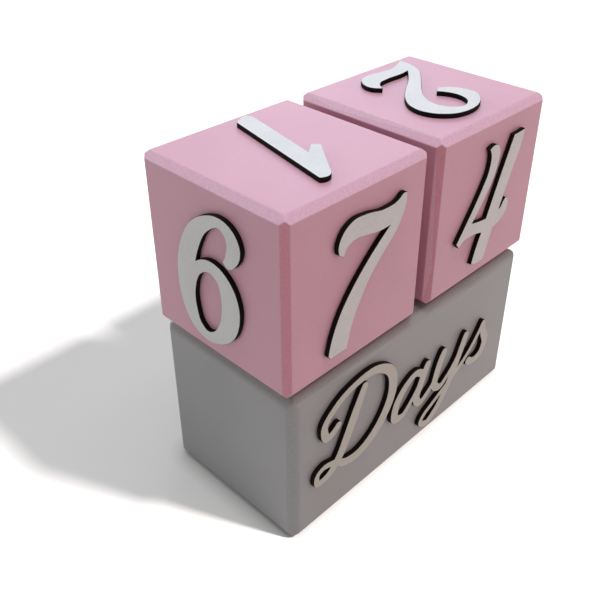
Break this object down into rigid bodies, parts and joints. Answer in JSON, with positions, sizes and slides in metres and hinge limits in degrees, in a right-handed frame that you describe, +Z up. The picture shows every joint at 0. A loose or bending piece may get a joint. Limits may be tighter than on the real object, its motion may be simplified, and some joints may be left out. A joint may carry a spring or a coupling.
{
  "type": "wooden cube calendar",
  "caption": "Wooden cube calendar: chamfered painted number cubes with raised cut-out figures stand loose side by side on a long chamfered base block and lift off to be turned.",
  "frame": {"origin": "middle of the base block's underside, on the surface that the calendar stands on", "axes": "+X along the row of cubes, towards the right end seen from the front; +Y to the back; +Z up"},
  "size_m": [0.1714, 0.0844, 0.1644],
  "materials": {
    "base_paint": "matt grey spray paint on fine sanded board",
    "cube_paint": "matt pink spray paint on fine sanded board",
    "figure_board": "white paint on laser-cut board with charred edges"
  },
  "bodies": {
    "base": {"base_block": "base_paint"},
    "left_number": {"left_cube": "cube_paint", "left_figure_7": "figure_board", "left_figure_6": "figure_board", "left_figure_1": "figure_board", "left_figure_2": "figure_board", "left_figure_0": "figure_board", "left_figure_8": "figure_board"},
    "right_number": {"right_cube": "cube_paint", "right_figure_4": "figure_board", "right_figure_2": "figure_board", "right_figure_3": "figure_board", "right_figure_1": "figure_board", "right_figure_5": "figure_board", "right_figure_0": "figure_board"}
  },
  "joints": [
    {"name": "left_cube_lift", "type": "slide", "parent": "base", "child": "left_number", "axis": [0, 0, 1], "range_m": [0, 0.1]},
    {"name": "right_cube_lift", "type": "slide", "parent": "base", "child": "right_number", "axis": [0, 0, 1], "range_m": [0, 0.1]}
  ]
}
